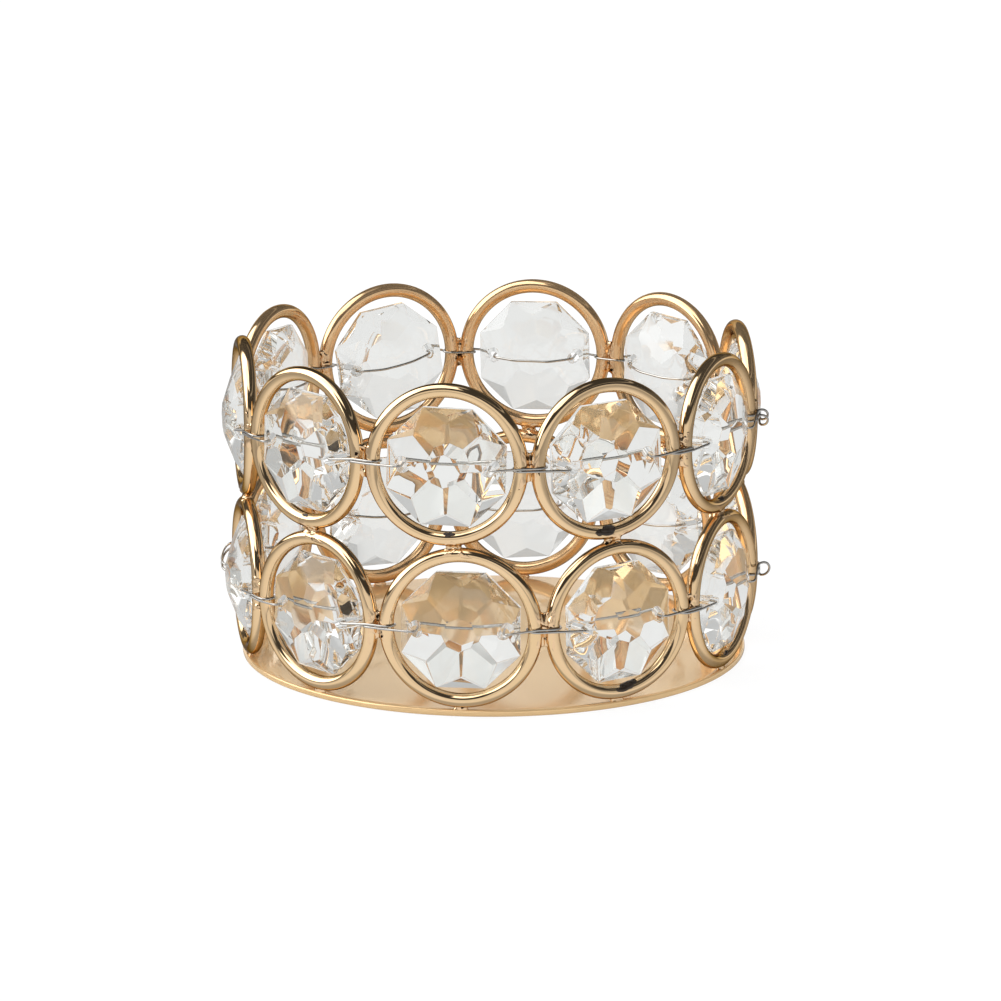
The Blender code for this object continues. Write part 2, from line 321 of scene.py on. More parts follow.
# size in mm, place round the wire in degrees from the ring's outer edge, and place along it in mm, to the
# left of the ring's foot
CRUSTS = {
    ("upper", 2): (1.9, 116, 0.3), ("upper", 1): (1.0, 130, -0.3), ("upper", 3): (1.0, 146, -0.3),
    ("upper", 10): (0.7, 146, -0.3), ("lower", 2): (2.1, 140, -1.5), ("lower", 3): (0.9, 146, -0.3),
    ("upper", 5): (1.3, 146, -0.3), ("upper", 7): (0.8, 130, 0.5)}
CRUST_LOBES = 9
CRUST_SPREAD = 0.42
CRUST_ROLL = 0.25
CRUST_LENGTHS = (0.3, 0.62)
CRUST_WIDTHS = (0.16, 0.3)
CRUST_HEIGHTS = (0.06, 0.14)
CRUST_LUMP = 0.7 * MM
CRUST_RELIEF = 0.35


def lumps(points, size, height, seed):
    """Height of a lumpy skin: height times the mean of twelve sine waves, which are size long on average
    and run in scattered directions. Three normal numbers are 1.6 long on average."""
    chance = np.random.default_rng(seed)
    waves = chance.normal(size=(12, 3)) * math.tau / size / 1.6
    phases = chance.uniform(0, math.tau, 12)
    return height * np.sin(points @ waves.T + phases).mean(axis=-1)


def fillet_depth(x, seat, waist):
    """Half depth of the alloy at x from the middle of two round wires, whose middles lie seat away: a hollow
    arc through the waist that touches both wires, and past its touching point the wire's own circle. The
    second value is how far x is past that point, in shares of the way on to the wire's middle, up to 1.4."""
    hollow = (seat ** 2 + waist ** 2 - WIRE_HALF ** 2) / (2 * (WIRE_HALF - waist))
    touch = seat * hollow / (hollow + WIRE_HALF)
    arc = waist + hollow - np.sqrt(np.maximum(hollow ** 2 - x ** 2, 0))
    circle = np.sqrt(np.maximum(WIRE_HALF ** 2 - (x - seat) ** 2, 0))
    return np.where(x < touch, arc, circle), np.clip((x - touch) / (seat - touch), 0, 1.4)


def braze_surface(middle, between, along, thick, waist, reach, wide, shift, sink, seed):
    """Alloy between two wires. Across, u goes from -1.1 to 1.1 of the way to the wires' middles, and round
    it, s turns once: the half height goes from reach to wide as |u|^1.8, and the depth is the fillet's,
    a little thinner towards the ends, and rounded off there by (1 - sin^6 s)^(1/6). At a height h the
    wires are further apart, each by h squared over the ring's diameter."""
    u = np.linspace(-1.1, 1.1, 41)[:, None]
    s = np.linspace(0, math.tau, 56, endpoint=False)[None, :]
    height = (reach + (wide - reach) * np.abs(u) ** 1.8) * np.sin(s)
    seat = SEAT + (height - np.sign(u) * shift) ** 2 / (2 * RING_RADIUS)
    thin = waist * (1 - BRAZE_THINNING * (height / wide) ** 2)
    depth, past = fillet_depth(np.abs(u) * seat, seat, thin)
    rounding = np.sign(np.cos(s)) * (1 - np.minimum(np.abs(np.sin(s)), 1) ** 6) ** (1 / 6)
    depth = (depth + BRAZE_SKIN * (1 - 2 * past)) * rounding
    points = (middle + (u * seat)[..., None] * between + height[..., None] * along
              + (depth - sink * height ** 2)[..., None] * thick)
    spread = lumps(points, BRAZE_LUMP, BRAZE_RELIEF, seed) * (1 - np.minimum(past, 1)) * rounding
    return points + spread[..., None] * thick


def foot_surface(foot, across, out, seed):
    """A skirt of alloy from the plate up to a ring: an ellipse that flares as (1 - v)^2.2 downwards, and
    stays under the ring's wire."""
    v = np.linspace(0, 1, 12)[:, None]
    s = np.linspace(0, math.tau, 40, endpoint=False)[None, :]
    flare = 1 + FOOT_FLARE * (1 - v) ** 2.2
    x = FOOT_LENGTH * flare * np.cos(s)
    y = FOOT_DEPTH * flare * np.sin(s)
    z = (FOOT_RISE + FOOT_SINK) * v - FOOT_SINK + 0 * s
    points = foot + x[..., None] * across + y[..., None] * out + z[..., None] * np.array([0, 0, 1.0])
    swell = 1 + FOOT_SWELL * lumps(points, FOOT_LUMP, 1.0, seed)
    return foot + (points - foot) * np.stack([swell, swell, np.ones_like(swell)], axis=-1)


def crust_surface(centre, turn, spoke, side, length, width, height, seed):
    """A crust on a ring's wire: an egg with half axes length along the wire, width round it and height off
    it, bent over the wire's skin at the given spoke angle and skin angle."""
    across, out, up = directions(turn)
    a = np.linspace(-0.999, 0.999, 15)[:, None]
    s = np.linspace(0, math.tau, 20, endpoint=False)[None, :]
    ring = np.sqrt(1 - a ** 2)
    t = spoke + a * length / RING_RADIUS + 0 * s
    skin = side + ring * np.cos(s) * width / WIRE_HALF
    lift = WIRE_HALF + ring * np.sin(s) * height
    radial = RING_RADIUS + lift * np.cos(skin)
    points = (centre + (radial * np.sin(t))[..., None] * across + (radial * np.cos(t))[..., None] * up
              + (lift * np.sin(skin))[..., None] * out)
    rough = lumps(points, CRUST_LUMP, CRUST_RELIEF * height, seed)
    return points + (rough * np.sin(s))[..., None] * ((points - centre) / RING_RADIUS)


def braze_alloy():
    """Plated brazing alloy: the wire's gold, a little rougher, with small black spots of painted shade
    scattered over it, for the dark that its hollows mirror. It goes dark at a slant, as the wire does."""
    material, shader = new_material("plated_braze", RING_GOLD, 1.0, 0.12)
    shader.inputs["Specular Tint"].default_value = linear(EDGE_GOLD)
    place = add_node(material, "ShaderNodeTexCoord")
    grain = add_node(material, "ShaderNodeTexNoise", inputs={
        "Vector": place.outputs["Object"], "Scale": 1 / PIT_SPACING, "Detail": 1.5})
    # Painted shade: black spots where the grain is high, for the dark that the alloy's hollows mirror.
    pit = add_node(material, "ShaderNodeMapRange", inputs={
        "Value": grain.outputs["Fac"], "From Min": 0.64, "From Max": 0.69})
    tone = add_node(material, "ShaderNodeMix", {"data_type": "RGBA"}, {
        "Factor": pit.outputs["Result"], "A": linear(BRAZE_GOLD), "B": linear(PIT_SHADE_BLACK)})
    rough = add_node(material, "ShaderNodeMapRange", inputs={
        "Value": pit.outputs["Result"], "To Min": 0.1, "To Max": 0.5})
    bump = add_node(material, "ShaderNodeBump", inputs={
        "Strength": 0.6, "Distance": 0.1 * MM, "Height": grain.outputs["Fac"]})
    material.node_tree.links.new(tone.outputs["Result"], shader.inputs["Base Color"])
    material.node_tree.links.new(rough.outputs["Result"], shader.inputs["Roughness"])
    material.node_tree.links.new(bump.outputs["Normal"], shader.inputs["Normal"])
    return material


def burnt_flux():
    """Painted shade: a crazed, glassy crust, brown-black, with small sharp highlights, for the dark that the
    hollows by the joints mirror.
    """
    material, shader = new_material("burnt_flux", CRUST_SHADE_BROWN, 0.0, 0.35, ior=1.5)
    place = add_node(material, "ShaderNodeTexCoord")
    craze = add_node(material, "ShaderNodeTexNoise", inputs={
        "Vector": place.outputs["Object"], "Scale": 1 / CRAZE_SPACING, "Detail": 3.0})
    tone = add_node(material, "ShaderNodeMix", {"data_type": "RGBA"}, {
        "Factor": craze.outputs["Fac"], "A": linear(CRUST_SHADE_DARK), "B": linear(CRUST_SHADE_LIGHT)})
    bump = add_node(material, "ShaderNodeBump", inputs={
        "Strength": 0.8, "Distance": 0.08 * MM, "Height": craze.outputs["Fac"]})
    material.node_tree.links.new(tone.outputs["Result"], shader.inputs["Base Color"])
    material.node_tree.links.new(bump.outputs["Normal"], shader.inputs["Normal"])
    return material


braze_material = braze_alloy()
side_sink = math.sin(STEP / 2) / (2 * RING_RADIUS)
for row in ROWS:
    fillets = []
    for number in range(1, PER_ROW + 1):
        across, out, up = directions(turns[row, number] + STEP / 2)
        chance = np.random.default_rng(700 + number + 20 * (row == "upper"))
        sizes = {name: chance.uniform(*span) * MM for name, span in SIDE_BRAZE.items()}
        fillets.append(braze_surface(
            out * JOINT_RADIUS + up * centres[row, number][2], across, up, out,
            **sizes, shift=0, sink=side_sink, seed=number))
    side_mesh = grid_mesh(f"{row}_side_brazes", fillets)
    add_piece(side_mesh.name, side_mesh, braze_material, "holder", [])

row_fillets, feet, crusts = [], [], []
level = (centres["lower", 1][2] + centres["upper", 1][2]) / 2
for number in range(1, PER_ROW + 1):
    chance = np.random.default_rng(800 + number)
    sizes = {name: chance.uniform(*span) * MM for name, span in ROW_BRAZE.items()}
    across, out, up = directions(turns["upper", number] + ROW_SHIFT / 2)
    row_fillets.append(braze_surface(
        out * ROW_RADIUS + up * level, up, across, out,
        **sizes, shift=-ROW_RADIUS * ROW_SHIFT / 2, sink=0, seed=number))
    across, out, up = directions(turns["lower", number])
    feet.append(foot_surface(out * ROW_RADIUS + up * PLATE_TOP, across, out, number))
for seed, ((row, number), (size, side, leftwards)) in enumerate(CRUSTS.items()):
    chance = np.random.default_rng(900 + seed)
    for lobe in range(CRUST_LOBES):
        crusts.append(crust_surface(
            centres[row, number], turns[row, number],
            math.pi + (leftwards + chance.normal(0, CRUST_SPREAD) * size) * MM / RING_RADIUS,
            math.radians(side) + chance.uniform(-CRUST_ROLL, CRUST_ROLL) * size * MM / WIRE_HALF,
            chance.uniform(*CRUST_LENGTHS) * size * MM, chance.uniform(*CRUST_WIDTHS) * size * MM,
            chance.uniform(*CRUST_HEIGHTS) * size * MM, 20 * seed + lobe))
row_mesh = grid_mesh("row_brazes", row_fillets)
add_piece("row_brazes", row_mesh, braze_material, "holder", [])
foot_mesh = grid_mesh("plate_brazes", feet)
add_piece("plate_brazes", foot_mesh, braze_material, "holder", [])
# The crusts are painted shade, laid where the hollows by the joints mirror dark.
crust_mesh = grid_mesh("flux_crusts", crusts)
add_piece("flux_crusts", crust_mesh, burnt_flux(), "holder", [])


# Crystals. Twenty clear pressed and polished glass stones of 18 mm, eight-sided, each drilled twice.
# Eight kite facets meet in the middle of each face, with eight border facets between them at the edge.
stone_low, stone_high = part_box("upper_crystal_01")
STONE_FLATS = stone_high.x - stone_low.x
STONE_DEPTH = stone_high.y - stone_low.y
STONE_DROP = centres["upper", 1][2] - (stone_low.z + stone_high.z) / 2
STONE_SIDES = 8
HALF_SIDE = math.pi / STONE_SIDES
STONE_GIRDLE = 0.8 * MM
STONE_BORDER = 2.0 * MM
STONE_TABLE = 2.6 * MM
STONE_CORNER = STONE_FLATS / 2 / math.cos(HALF_SIDE)
STONE_RIDGE = STONE_FLATS / 2 - STONE_BORDER
RIDGE_SLOPE = ((STONE_DEPTH - STONE_GIRDLE) / 2 * math.cos(HALF_SIDE)
               / (STONE_CORNER - STONE_TABLE * math.cos(HALF_SIDE)))
RIDGE_DEPTH = STONE_DEPTH / 2 - RIDGE_SLOPE * (STONE_RIDGE - STONE_TABLE)
HOLE_DIAMETER = 1.8 * MM
HOLE_INSET = 2.4 * MM
HOLE_OFFSET = STONE_FLATS / 2 - HOLE_INSET
DRILL_SIDES = 32
EDGE_POLISH = 0.05 * MM
GLASS_CLEAR = "#FCFDFB"
# the most degrees that a stone is turned about the upright and in its ring, and the turns the photo shows
STONE_SWIVEL = 2.5
STONE_ROLL = 4.0
STONE_ROLLS = {("lower", 10): 2.0, ("upper", 7): 8.0, ("upper", 6): 1.0, ("lower", 1): 0.5, ("upper", 1): 1.5}


def cut_stone():
    """The stone about its wire: the convex hull of two small tables, two rings of eight ridge points, at
    half the flats less the border, and sixteen girdle corners. Two drills are cut from it, and all its
    edges are rounded a little by polishing."""
    ridge = np.arange(STONE_SIDES) * math.tau / STONE_SIDES
    corner = ridge + HALF_SIDE
    levels = ((ridge, STONE_TABLE, STONE_DEPTH / 2), (ridge, STONE_RIDGE, RIDGE_DEPTH),
              (corner, STONE_CORNER, STONE_GIRDLE / 2))
    corners = np.concatenate([
        np.column_stack([reach * np.sin(a), way * depth + 0 * a, reach * np.cos(a) - STONE_DROP])
        for way in (-1, 1) for a, reach, depth in levels])
    blank = bpy.data.objects.new("stone_blank", bpy.data.meshes.new("stone_blank"))
    blank.data.from_pydata(corners.tolist(), [], [])
    work = bmesh.new()
    work.from_mesh(blank.data)
    bmesh.ops.convex_hull(work, input=work.verts)
    bmesh.ops.dissolve_limit(work, angle_limit=math.radians(0.5), verts=work.verts, edges=work.edges)
    bmesh.ops.recalc_face_normals(work, faces=work.faces)
    work.to_mesh(blank.data)
    work.free()
    drills = bmesh.new()
    for side in (-1, 1):
        hole = Matrix.Translation((side * HOLE_OFFSET, 0, -STONE_DROP))
        bmesh.ops.create_cone(
            drills, cap_ends=True, segments=DRILL_SIDES, depth=2 * STONE_DEPTH,
            radius1=HOLE_DIAMETER / 2, radius2=HOLE_DIAMETER / 2,
            matrix=hole @ Matrix.Rotation(math.pi / 2, 4, "X"))
    cutter = bpy.data.objects.new("stone_drills", bpy.data.meshes.new("stone_drills"))
    drills.to_mesh(cutter.data)
    drills.free()
    for thing in (blank, cutter):
        bpy.context.scene.collection.objects.link(thing)
    drilling = blank.modifiers.new("holes", "BOOLEAN")
    drilling.operation = "DIFFERENCE"
    drilling.solver = "EXACT"
    drilling.object = cutter
    polish = blank.modifiers.new("polish", "BEVEL")
    polish.width = EDGE_POLISH
    polish.segments = 2
    polish.limit_method = "ANGLE"
    polish.angle_limit = math.radians(14)
    graph = bpy.context.evaluated_depsgraph_get()
    stone = bpy.data.meshes.new_from_object(blank.evaluated_get(graph))
    for thing in (blank, cutter):
        bpy.data.objects.remove(thing)
    stone.shade_smooth()
    stone.set_sharp_from_angle(angle=math.radians(12))
    return stone


def polished_crystal():
    """Pressed and polished clear glass. It takes its look from what it bends and mirrors."""
    material, shader = new_material("crystal_glass", GLASS_CLEAR, 0.0, 0.0, ior=1.5)
    shader.inputs["Transmission Weight"].default_value = 1.0
    return material


stone = cut_stone()
stone_material = polished_crystal()
stone_places = {}
for seed, (row, number) in enumerate(centres):
    chance = np.random.default_rng(100 + seed)
    swivel = math.radians(chance.uniform(-STONE_SWIVEL, STONE_SWIVEL))
    roll = math.radians(STONE_ROLLS.get((row, number), chance.uniform(-STONE_ROLL, STONE_ROLL)))
    stone_places[row, number] = (
        Matrix.Translation(centres[row, number]) @ Matrix.Rotation(turns[row, number] + swivel, 4, "Z")
        @ Matrix.Translation((0, 0, -STONE_DROP)) @ Matrix.Rotation(roll, 4, "Y")
        @ Matrix.Translation((0, 0, STONE_DROP)))
    stone_mesh = stone.copy()
    stone_mesh.name = f"{row}_cut_crystal_{number:02d}"
    stone_mesh.transform(stone_places[row, number])
    node = f"{row}_crystal_{number:02d}"
    add_piece(stone_mesh.name, stone_mesh, stone_material, node, [node])


# Tie wires. One length of thin bright steel wire for each row, threaded in at each crystal's left hole,
# across its back, out at its right hole, and once round the two ring wires that meet there. It is
# pulled tight by hand, so it bows a little, and the turns where its ends meet are left loose.
TIE_WIRE = 0.38 * MM
STEEL_GREY = "#BCB9B4"
SCRATCH_SPACING = 0.4 * MM
TIE_SIDES = 10
TIE_CLEARANCE = 0.03 * MM
TIE_OFF_STONE = 0.18 * MM
TIE_LIFT = 0.28 * MM
TIE_BEND = 0.35 * MM
TIE_STRAND_PITCH = 0.44 * MM
TIE_SLACK = 0.28 * MM
TIE_TILT = 0.4
TIE_BOW = 0.3 * MM
# how far the turn stands out, its half height, and how much higher its middle sits
TIE_LOOSE = {
    ("upper", 3): (1.45 * MM, 1.0 * MM, 0.1 * MM), ("lower", 3): (1.7 * MM, 1.25 * MM, 0.4 * MM),
    ("lower", 8): (1.6 * MM, 1.5 * MM, -0.7 * MM)}
TIE_LOOP_BEND = math.radians(115)
TIE_LOOP_STEPS = 25
TIE_END_RING = {"lower": 8, "upper": 3}
TIE_TURN_STEP = math.radians(22.5)
TIE_SAMPLE = 0.12 * MM
# samples each way that the running mean takes in
TIE_SOFTENING = {"joint": 3, "stone": 8}


def face_depth(reach):
    """Distance from the stone's middle plane to its face, on the line through both holes."""
    if reach < STONE_RIDGE:
        return STONE_DEPTH / 2 - RIDGE_SLOPE * max(reach - STONE_TABLE, 0)
    return RIDGE_DEPTH - (RIDGE_DEPTH - STONE_GIRDLE / 2) * (reach - STONE_RIDGE) / STONE_BORDER


def through_crystal(row, number):
    """Corners of the wire at one crystal, in at the left hole, across the back and out at the right one.
    The stone hangs on it, so it runs a little above the middle of each hole, and it bows down behind."""
    chance = np.random.default_rng(300 + number + 20 * (row == "upper"))
    away = TIE_WIRE / 2 + TIE_OFF_STONE
    off_face = face_depth(HOLE_OFFSET - HOLE_DIAMETER / 2) + away
    half = [(0.0, -STONE_DEPTH / 2 - away), (STONE_TABLE, -STONE_DEPTH / 2 - away),
            (HOLE_OFFSET - TIE_BEND, -off_face), (HOLE_OFFSET, -off_face + TIE_BEND),
            (HOLE_OFFSET, off_face - TIE_BEND), (HOLE_OFFSET + TIE_BEND, off_face)]
    corners = []
    for side in (-1, 1):
        lift = chance.uniform(0.0, 1.0) * TIE_LIFT
        way = [Vector((side * x, -y, lift - STONE_DROP - (TIE_BOW if x <= STONE_TABLE else 0)))
               for x, y in half]
        corners += way[:0:-1] if side < 0 else way
    return [np.array(stone_places[row, number] @ corner) for corner in corners]


def round_joint(row, number, start, end):
    """Corners of one turn of wire about two ring wires. Each corner is a wire's middle plus a reach at a
    turn from the front, and the height goes evenly from start to end, a little up or down and a little
    tilted at each joint. A loose turn first stands out in an arc, by cos a outwards, by sin a down and
    evenly across, and its middle lifts."""
    chance = np.random.default_rng(400 + number + 20 * (row == "upper"))
    half_turn = round(math.pi / TIE_TURN_STEP)
    stations = [(-1, 0)] + [(1, i) for i in range(half_turn + 1)]
    stations += [(-1, i) for i in range(half_turn, 2 * half_turn + 1)] + [(1, 2 * half_turn)]
    side, turn = np.array(stations).T
    rise = np.linspace(start, end, len(side)) + chance.uniform(-1, 1) * TIE_SLACK
    tilt = chance.uniform(-TIE_TILT, TIE_TILT) * TIE_SLACK
    rise = rise + tilt * np.cos(turn * TIE_TURN_STEP + chance.uniform(0, 6))
    reach = (RING_WIRE / 2 + TIE_CLEARANCE + TIE_WIRE / 2) / math.cos(TIE_TURN_STEP / 2)
    parting = RING_RADIUS - np.sqrt(RING_RADIUS ** 2 - rise ** 2)
    across, out, up = directions(turns[row, (number - 1) % PER_ROW + 1] + STEP / 2)
    x = side * (SEAT + parting) + reach * np.sin(turn * TIE_TURN_STEP)
    y = JOINT_RADIUS + reach * np.cos(turn * TIE_TURN_STEP)
    z = centres[row, 1][2] + rise
    if (row, number) in TIE_LOOSE:
        proud, half_height, lift = TIE_LOOSE[row, number]
        a = np.linspace(-TIE_LOOP_BEND, TIE_LOOP_BEND, TIE_LOOP_STEPS)
        stand = (np.cos(a) - math.cos(TIE_LOOP_BEND)) / (1 - math.cos(TIE_LOOP_BEND))
        x = np.concatenate([SEAT * a / TIE_LOOP_BEND, x[2:]])
        y = np.concatenate([y[0] + proud * stand, y[2:]])
        z = np.concatenate([z[0] - half_height * np.sin(a) + lift * stand, z[2:]])
    return list(x[:, None] * across + y[:, None] * out + z[:, None] * up)


def softened(route, reach):
    """The running mean of a route over twice the reach and one point, with its end points held."""
    padded = np.concatenate([[route[0]] * reach, route, [route[-1]] * reach])
    window = np.ones(2 * reach + 1) / (2 * reach + 1)
    return np.stack([np.convolve(padded[:, k], window, "valid") for k in range(route.shape[1])], axis=-1)


def tie_route(row):
    """The whole route once round, from a turn about one joint to a second turn about it. Its corners are
    softened by a running mean, a short one round the joints and a longer one along the stones."""
    half = TIE_STRAND_PITCH / 2
    last = TIE_END_RING[row]
    corners = round_joint(row, last, -3 * half, -half)
    at_stone = [0.0] * len(corners)
    for step in range(1, PER_ROW + 1):
        number = (last + step - 1) % PER_ROW + 1
        stretches = [
            (through_crystal(row, number), 1.0),
            (round_joint(row, number, half, -half if step < PER_ROW else 3 * half), 0.0)]
        for stretch, share in stretches:
            corners += stretch
            at_stone += [share] * len(stretch)
    corners = np.column_stack([corners, at_stone])
    run = np.concatenate([[0], np.cumsum(np.linalg.norm(np.diff(corners[:, :3], axis=0), axis=1))])
    steps = np.linspace(0, run[-1], round(run[-1] / TIE_SAMPLE))
    route = np.stack([np.interp(steps, run, corners[:, k]) for k in range(4)], axis=-1)
    tight = softened(route, TIE_SOFTENING["joint"])
    gentle = softened(route, TIE_SOFTENING["stone"])
    return tight[:, :3] + (gentle - tight)[:, :3] * gentle[:, 3:]


def wire_surface(route, radius, sides):
    """A tube: at each point of the route, a circle across the route's direction, whose first spoke is
    nearly level, so that the tube doesn't twist. A plumb stretch still has one, as nearly_up isn't plumb."""
    nearly_up = [0.02, 0.03, 1.0]
    ahead = np.gradient(route, axis=0)
    ahead /= np.linalg.norm(ahead, axis=1, keepdims=True)
    level_spoke = np.cross(ahead, nearly_up)
    level_spoke /= np.linalg.norm(level_spoke, axis=1, keepdims=True)
    other_spoke = np.cross(ahead, level_spoke)
    s = np.linspace(0, math.tau, sides, endpoint=False)
    return (route[:, None] + radius * np.cos(s)[None, :, None] * level_spoke[:, None]
            + radius * np.sin(s)[None, :, None] * other_spoke[:, None])


def drawn_wire():
    """Bright drawn steel wire: a grey mirror, duller where it was scratched when it was pulled tight."""
    material, shader = new_material("drawn_steel_wire", STEEL_GREY, 1.0, 0.1)
    place = add_node(material, "ShaderNodeTexCoord")
    scratch = add_node(material, "ShaderNodeTexNoise", inputs={
        "Vector": place.outputs["Object"], "Scale": 1 / SCRATCH_SPACING, "Detail": 2.0})
    rough = add_node(material, "ShaderNodeMapRange", inputs={
        "Value": scratch.outputs["Fac"], "From Min": 0.3, "From Max": 0.7, "To Min": 0.05, "To Max": 0.18})
    material.node_tree.links.new(rough.outputs["Result"], shader.inputs["Roughness"])
    return material


tie_material = drawn_wire()
for row in ROWS:
    tube = wire_surface(tie_route(row), TIE_WIRE / 2, TIE_SIDES)
    tie_mesh = grid_mesh(f"{row}_threaded_wire", [tube])
    add_piece(tie_mesh.name, tie_mesh, tie_material, "holder", [f"{row}_tie_wire"])


# Table and light. A white sheet under the holder and an even surround, both plain white to the camera.
# Metal mirrors a large soft light up to the left, a dark ceiling with a light spot overhead and a dark
# card to the right, which give it its bright and dark bands.
PAPER_WHITE = "#F4F4F4"
TABLE_REACH = 4.0
TABLE_DROP = 0.02 * MM
TABLE_GLOW_SHARE = 0.86
TABLE_TO_CAMERA = 1.04
TABLE_TO_GLASS = 0.80
# Each shade that mirrors see on the table: the two distances in mm between which it changes, and its level
# at each of them.
TABLE_SHADES = {
    "away": (50, 400, 1.0, 0.6), "behind": (-50, 60, 0.88, 0.5),
    "beside": (30, 135, 1.06, 0.5), "under_rim": (42, 46, 0.45, 1.0)}
ROOM_LEVEL = 0.60
ROOM_TO_CAMERA = 1.01
ROOM_TO_MATT = 1.1
GLASS_GAIN = 0.32
GLASS_BASE = 0.52
PAST_ANY_SINE = 2.0
# Each panel: its turn from the front, its half width and the softness of that edge's cosine, its lowest
# and highest angle and the softness of their sines, and its strength. A later panel covers an earlier one.
PANELS = (
    (190.0, 75.0, 0.20, -10.0, 22.0, 0.05, 0.90),
    (5.0, 42.0, 0.25, -10.0, 19.0, 0.07, 0.88),
    (105.0, 178.0, 0.06, 20.0, 90.0, 0.03, 0.05),
    (0.0, 179.9, 0.01, 80.0, 90.0, 0.01, 0.55),
    (125.0, 48.0, 0.10, 9.0, 24.0, 0.04, 0.12),
    (100.0, 80.0, 0.10, 40.0, 43.5, 0.01, 0.40),
    (-82.0, 56.0, 0.04, 5.0, 84.0, 0.03, 0.08),
    (-82.0, 39.0, 0.04, 11.0, 79.0, 0.02, 3.0),
    (-40.0, 42.0, 0.06, 47.0, 79.0, 0.02, 2.2),
)


def white_table():
    """A sheet of matt white paper. The camera sees it nearly white, so that its shadow is faint, and glass
    sees it a little greyer. Mirrors see it bright in front, and darker far away, behind the holder, beside
    it and close under the plate's rim, which shades the metal that faces it: the four shades multiply."""
    material, shader = new_material("white_paper", PAPER_WHITE, 0.0, 0.9)
    path = add_node(material, "ShaderNodeLightPath")
    seen = add_node(material, "ShaderNodeMath", {"operation": "MAXIMUM"}, {
        0: path.outputs["Is Glossy Ray"], 1: path.outputs["Is Transmission Ray"]})
    either = add_node(material, "ShaderNodeMath", {"operation": "MAXIMUM"}, {
        0: path.outputs["Is Camera Ray"], 1: seen.outputs["Value"]})
    share = add_node(material, "ShaderNodeMath", {"operation": "MULTIPLY"}, {
        0: either.outputs["Value"], 1: TABLE_GLOW_SHARE})
    place = add_node(material, "ShaderNodeTexCoord")
    away = add_node(material, "ShaderNodeVectorMath", {"operation": "LENGTH"}, {0: place.outputs["Object"]})
    sides = add_node(material, "ShaderNodeSeparateXYZ", inputs={0: place.outputs["Object"]})
    beside = add_node(material, "ShaderNodeMath", {"operation": "ABSOLUTE"}, {0: sides.outputs["X"]})
    distances = {"away": away.outputs["Value"], "behind": sides.outputs["Y"],
                 "beside": beside.outputs["Value"], "under_rim": away.outputs["Value"]}
    level = 1.0
    for name, (near, far, first, last) in TABLE_SHADES.items():
        shade = add_node(material, "ShaderNodeMapRange", {"interpolation_type": "SMOOTHSTEP"}, {
            "Value": distances[name], "From Min": near * MM, "From Max": far * MM,
            "To Min": first, "To Max": last})
        product = add_node(material, "ShaderNodeMath", {"operation": "MULTIPLY"}, {
            0: level, 1: shade.outputs["Result"]})
        level = product.outputs["Value"]
    clear = add_node(material, "ShaderNodeMix", {"data_type": "FLOAT"}, {
        "Factor": path.outputs["Is Transmission Ray"], "A": level, "B": TABLE_TO_GLASS})
    glow = add_node(material, "ShaderNodeMix", {"data_type": "FLOAT"}, {
        "Factor": path.outputs["Is Camera Ray"], "A": clear.outputs["Result"], "B": TABLE_TO_CAMERA})
    light = add_node(material, "ShaderNodeEmission", inputs={
        "Color": (1, 1, 1, 1), "Strength": glow.outputs["Result"]})
    mix = add_node(material, "ShaderNodeMixShader", inputs={
        0: share.outputs["Value"], 1: shader.outputs["BSDF"], 2: light.outputs["Emission"]})
    surface = material.node_tree.nodes["Material Output"].inputs["Surface"]
    material.node_tree.links.new(mix.outputs["Shader"], surface)
    return material


table_mesh = bpy.data.meshes.new("white_table")
table_mesh.from_pydata(
    [(-TABLE_REACH, -TABLE_REACH, 0), (TABLE_REACH, -TABLE_REACH, 0),
     (TABLE_REACH, TABLE_REACH, 0), (-TABLE_REACH, TABLE_REACH, 0)], [], [(0, 1, 2, 3)])
table_mesh.transform(Matrix.Translation((0, 0, -TABLE_DROP)))
table_mesh.materials.append(white_table())
table = bpy.data.objects.new("white_table", table_mesh)
bpy.context.scene.collection.objects.link(table)


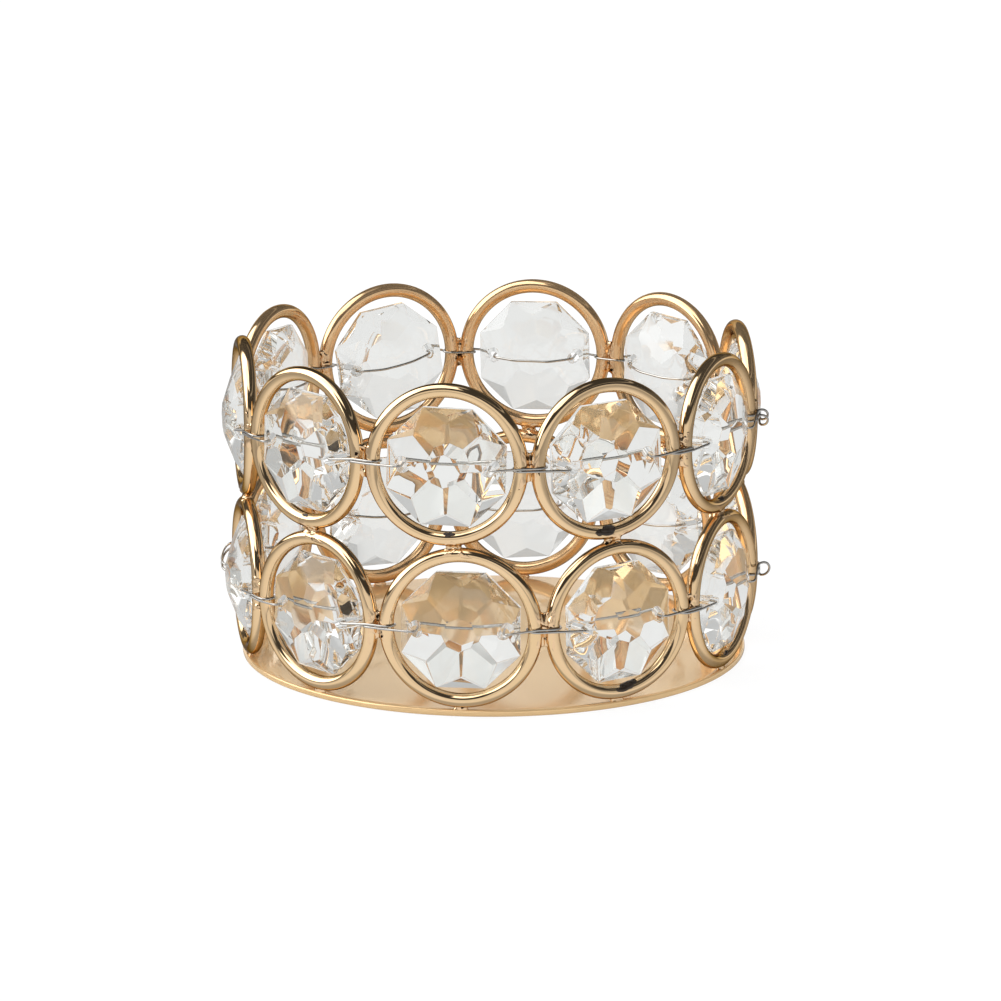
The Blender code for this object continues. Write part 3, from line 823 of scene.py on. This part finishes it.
def studio_world():
    """Light by direction, from its height z and its turn from the front: a grey-white room with panels,
    each a window in height times a window in turn, both with soft edges. Glass sees the panels weaker,
    matt surfaces are lit evenly at a plain level, and the camera sees plain white behind the holder."""
    world = bpy.data.worlds.new("studio")
    world.use_nodes = True
    bpy.context.scene.world = world
    place = add_node(world, "ShaderNodeTexCoord")
    parts = add_node(world, "ShaderNodeSeparateXYZ", inputs={0: place.outputs["Generated"]})
    flat = add_node(world, "ShaderNodeVectorMath", {"operation": "MULTIPLY"}, {
        0: place.outputs["Generated"], 1: (1.0, 1.0, 0.0)})
    flat = add_node(world, "ShaderNodeVectorMath", {"operation": "NORMALIZE"}, {0: flat.outputs["Vector"]})

    def window(value, low, high, soft):
        """One between low and high, falling smoothly to nought over twice the softness at each."""
        rise = add_node(world, "ShaderNodeMapRange", {"interpolation_type": "SMOOTHSTEP"}, {
            "Value": value, "From Min": low - soft, "From Max": low + soft})
        fall = add_node(world, "ShaderNodeMapRange", {"interpolation_type": "SMOOTHSTEP"}, {
            "Value": value, "From Min": high - soft, "From Max": high + soft, "To Min": 1.0, "To Max": 0.0})
        both = add_node(world, "ShaderNodeMath", {"operation": "MULTIPLY"}, {
            0: rise.outputs["Result"], 1: fall.outputs["Result"]})
        return both.outputs["Value"]

    level = ROOM_LEVEL
    for turn, spread, edge, low, high, soft, strength in PANELS:
        top = math.sin(math.radians(high)) if high < 90 else PAST_ANY_SINE
        middle = (math.sin(math.radians(turn)), -math.cos(math.radians(turn)), 0.0)
        facing = add_node(world, "ShaderNodeVectorMath", {"operation": "DOT_PRODUCT"}, {
            0: flat.outputs["Vector"], 1: middle})
        wide = window(facing.outputs["Value"], math.cos(math.radians(spread)), PAST_ANY_SINE, edge)
        tall = window(parts.outputs["Z"], math.sin(math.radians(low)), top, soft)
        share = add_node(world, "ShaderNodeMath", {"operation": "MULTIPLY"}, {0: wide, 1: tall})
        mixed = add_node(world, "ShaderNodeMix", {"data_type": "FLOAT"}, {
            "Factor": share.outputs["Value"], "A": level, "B": strength})
        level = mixed.outputs["Result"]
    path = add_node(world, "ShaderNodeLightPath")
    soft_level = add_node(world, "ShaderNodeMath", {"operation": "MULTIPLY_ADD"}, {
        0: level, 1: GLASS_GAIN, 2: GLASS_BASE})
    glass = add_node(world, "ShaderNodeMix", {"data_type": "FLOAT"}, {
        "Factor": path.outputs["Is Transmission Ray"], "A": level, "B": soft_level.outputs["Value"]})
    matt = add_node(world, "ShaderNodeMix", {"data_type": "FLOAT"}, {
        "Factor": path.outputs["Is Diffuse Ray"], "A": glass.outputs["Result"], "B": ROOM_TO_MATT})
    shown = add_node(world, "ShaderNodeMix", {"data_type": "FLOAT"}, {
        "Factor": path.outputs["Is Camera Ray"], "A": matt.outputs["Result"], "B": ROOM_TO_CAMERA})
    background = world.node_tree.nodes["Background"]
    background.inputs["Color"].default_value = (1, 1, 1, 1)
    world.node_tree.links.new(shown.outputs["Result"], background.inputs["Strength"])


studio_world()


# Camera. It stands where the photograph's did, which a fit to the rings and the plate gave: its turn from
# the front, its rise over the table, its distance and roll. The picture shows CAMERA_TARGET at TARGET_PIXEL.
CAMERA_TURN = math.radians(10.25)
CAMERA_RISE = math.radians(13.93)
CAMERA_DISTANCE = 787.6 * MM
CAMERA_TARGET = Vector((0, 0, 26.15 * MM))
CAMERA_ROLL = math.radians(-0.22)
PICTURE = 1001
FOCAL_PIXELS = 5046
TARGET_PIXEL = (493.12, 484.48)

lens = bpy.data.cameras.new("camera")
lens.sensor_width = 36
lens.lens = lens.sensor_width * FOCAL_PIXELS / PICTURE
lens.shift_x = (PICTURE / 2 - TARGET_PIXEL[0]) / PICTURE
lens.shift_y = (TARGET_PIXEL[1] - PICTURE / 2) / PICTURE
lens.clip_start = 0.05
lens.clip_end = 20
camera = bpy.data.objects.new("camera", lens)
bpy.context.scene.collection.objects.link(camera)
backwards = Vector((
    math.sin(CAMERA_TURN) * math.cos(CAMERA_RISE), -math.cos(CAMERA_TURN) * math.cos(CAMERA_RISE),
    math.sin(CAMERA_RISE)))
camera.location = CAMERA_TARGET + backwards * CAMERA_DISTANCE
camera.rotation_euler = (
    (-backwards).to_track_quat("-Z", "Y").to_matrix() @ Matrix.Rotation(CAMERA_ROLL, 3, "Z")).to_euler()
bpy.context.scene.camera = camera

scene = bpy.context.scene
scene.view_settings.view_transform = "Standard"
scene.cycles.max_bounces = 32
scene.cycles.transmission_bounces = 32
scene.cycles.glossy_bounces = 16
